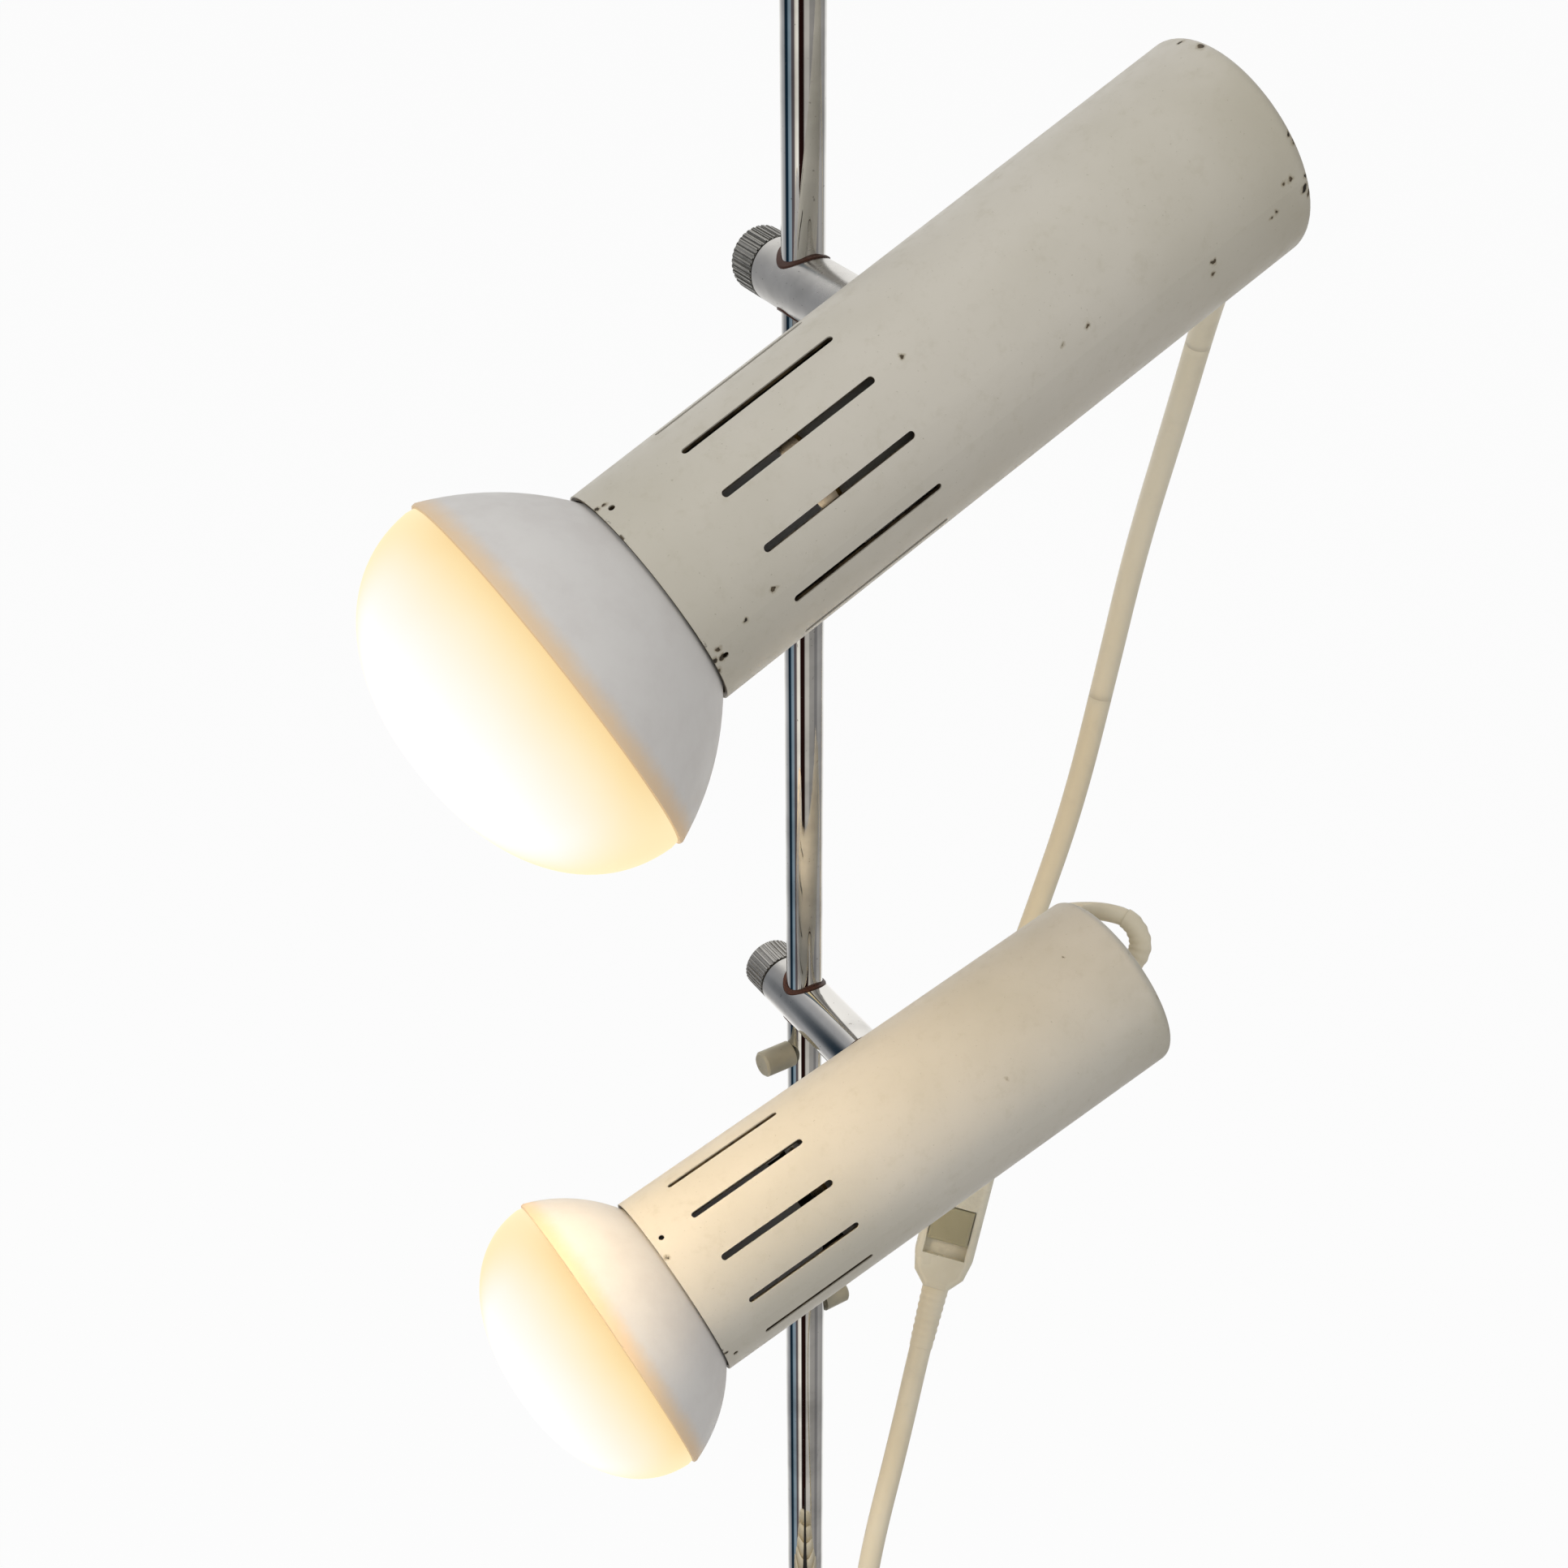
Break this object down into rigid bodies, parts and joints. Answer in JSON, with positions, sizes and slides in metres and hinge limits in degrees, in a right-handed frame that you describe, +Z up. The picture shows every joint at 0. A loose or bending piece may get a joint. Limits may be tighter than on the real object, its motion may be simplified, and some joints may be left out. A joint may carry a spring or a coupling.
{
  "type": "tension pole lamp",
  "caption": "Floor-to-ceiling spring pole with swivelling cylinder spotlights clamped to it, reflector bulbs, cords, in-line switch and plug.",
  "frame": {"origin": "middle of the floor pad's underside, on the pole's axis", "axes": "+Z up the pole, -Y the side the lamp is looked at from, the spotlights point to -X"},
  "size_m": [0.2133, 0.2383, 2.44],
  "materials": {
    "chrome": "polished chrome plate",
    "satin_chrome": "satin chrome plate",
    "steel": "brushed steel",
    "pin_steel": "matt olive-grey plated steel",
    "cream_paint": "aged cream enamel",
    "bush_plastic": "brown moulded bush",
    "cord_pvc": "cream plastic sheath",
    "switch_plastic": "cream moulded plastic",
    "black_rubber": "black rubber",
    "bulb_glass": "frosted glass",
    "bulb_mirror": "silvered glass",
    "brass": "brass",
    "holder_plastic": "white moulded plastic"
  },
  "bodies": {
    "outer_pole": {"floor_pad": "black_rubber", "floor_foot": "chrome", "outer_tube": "chrome", "guide_bush": "bush_plastic", "cord_coil": "cord_pvc", "cord_tie": "black_rubber", "plug_body": "cord_pvc", "plug_pins": "brass"},
    "lock_pad_body": {"lock_pad": "bush_plastic"},
    "lock_pin_body": {"lock_pin": "pin_steel"},
    "inner_pole": {"inner_tube": "chrome", "end_plug": "bush_plastic", "stop_pin": "pin_steel", "top_bush": "bush_plastic", "plunger_spring": "steel", "switch_base": "switch_plastic", "switch_cover": "switch_plastic", "upper_cord": "cord_pvc", "lower_cord": "cord_pvc", "main_cord": "cord_pvc"},
    "ceiling_plunger": {"plunger": "steel", "ceiling_cup": "chrome", "ceiling_pad": "black_rubber"},
    "slider_body": {"switch_slider": "switch_plastic"},
    "upper_slider": {"upper_grip_band": "bush_plastic"},
    "upper_clamp": {"upper_clamp_bush": "bush_plastic", "upper_barrel": "satin_chrome", "upper_swivel_screw": "steel", "upper_friction_washer": "bush_plastic"},
    "upper_pad_body": {"upper_clamp_pad": "bush_plastic"},
    "upper_knob_body": {"upper_knob": "steel"},
    "upper_head": {"upper_saddle": "chrome", "upper_tilt_shaft": "steel", "upper_shaft_nut": "steel", "upper_head_shell": "cream_paint", "upper_holder_bracket": "steel", "upper_holder_nipple": "brass", "upper_lampholder": "holder_plastic", "upper_bulb_cap": "brass", "upper_bulb_reflector": "bulb_mirror", "upper_bulb_lens": "bulb_glass", "upper_cord_gland": "cord_pvc"},
    "lower_slider": {"lower_grip_band": "bush_plastic"},
    "lower_clamp": {"lower_clamp_bush": "bush_plastic", "lower_barrel": "chrome", "lower_swivel_screw": "steel", "lower_friction_washer": "bush_plastic"},
    "lower_pad_body": {"lower_clamp_pad": "bush_plastic"},
    "lower_knob_body": {"lower_knob": "steel"},
    "lower_head": {"lower_saddle": "chrome", "lower_tilt_shaft": "steel", "lower_shaft_nut": "steel", "lower_head_shell": "cream_paint", "lower_holder_bracket": "steel", "lower_holder_nipple": "brass", "lower_lampholder": "holder_plastic", "lower_bulb_cap": "brass", "lower_bulb_reflector": "bulb_mirror", "lower_bulb_lens": "bulb_glass", "lower_cord_gland": "cord_pvc"}
  },
  "joints": [
    {"name": "telescope", "type": "slide", "parent": "outer_pole", "child": "inner_pole", "axis": [0, 0, 1], "range_m": [-0.09, 0.25], "deforming": ["main_cord"]},
    {"name": "lock_pad_press", "type": "slide", "parent": "outer_pole", "child": "lock_pad_body", "axis": [0.8192, 0.5736, 0], "range_m": [0, 0.0008]},
    {"name": "lock_pin_turn", "type": "hinge", "parent": "lock_pad_body", "child": "lock_pin_body", "pos_m": [0, 0, 1.0855], "axis": [0.8192, 0.5736, 0], "range_deg": [0, 360]},
    {"name": "ceiling_spring", "type": "slide", "parent": "inner_pole", "child": "ceiling_plunger", "axis": [0, 0, 1], "range_m": [-0.025, 0], "stiffness_N_per_m": 2000, "springref_m": 0.02, "deforming": ["plunger_spring"]},
    {"name": "switch_slide", "type": "slide", "parent": "inner_pole", "child": "slider_body", "axis": [-0.2305, -0.5211, -0.8218], "range_m": [0, 0.005]},
    {"name": "upper_height", "type": "slide", "parent": "inner_pole", "child": "upper_slider", "axis": [0, 0, 1], "range_m": [-0.02, 0.15], "deforming": ["upper_cord"]},
    {"name": "upper_pan", "type": "hinge", "parent": "upper_slider", "child": "upper_clamp", "pos_m": [0, 0, 1.45], "axis": [0, 0, 1], "range_deg": [-90, 90], "deforming": ["upper_cord"]},
    {"name": "upper_pad_press", "type": "slide", "parent": "upper_clamp", "child": "upper_pad_body", "axis": [-0.5232, 0.8522, 0], "range_m": [0, 0.0008]},
    {"name": "upper_knob_turn", "type": "hinge", "parent": "upper_pad_body", "child": "upper_knob_body", "pos_m": [0, 0, 1.45], "axis": [-0.5232, 0.8522, 0], "range_deg": [0, 360]},
    {"name": "upper_tilt", "type": "hinge", "parent": "upper_clamp", "child": "upper_head", "pos_m": [0.0337, -0.05488, 1.45], "axis": [0.5232, -0.8522, 0], "range_deg": [-70, 45], "deforming": ["upper_cord"]},
    {"name": "lower_height", "type": "slide", "parent": "inner_pole", "child": "lower_slider", "axis": [0, 0, 1], "range_m": [0, 0.02], "deforming": ["lower_cord"]},
    {"name": "lower_pan", "type": "hinge", "parent": "lower_slider", "child": "lower_clamp", "pos_m": [0, 0, 1.2233], "axis": [0, 0, 1], "range_deg": [-90, 20], "deforming": ["lower_cord"]},
    {"name": "lower_pad_press", "type": "slide", "parent": "lower_clamp", "child": "lower_pad_body", "axis": [-0.5388, 0.8425, 0], "range_m": [0, 0.0008]},
    {"name": "lower_knob_turn", "type": "hinge", "parent": "lower_pad_body", "child": "lower_knob_body", "pos_m": [0, 0, 1.2233], "axis": [-0.5388, 0.8425, 0], "range_deg": [0, 360]},
    {"name": "lower_tilt", "type": "hinge", "parent": "lower_clamp", "child": "lower_head", "pos_m": [0.0347, -0.05425, 1.2233], "axis": [0.5388, -0.8425, 0], "range_deg": [-25, 55], "deforming": ["lower_cord"]}
  ],
  "couplings": [
    {"joint": "lock_pad_press", "follows": "lock_pin_turn", "m_per_rad": 0.00012732},
    {"joint": "upper_pad_press", "follows": "upper_knob_turn", "m_per_rad": 0.00012732},
    {"joint": "lower_pad_press", "follows": "lower_knob_turn", "m_per_rad": 0.00012732}
  ]
}
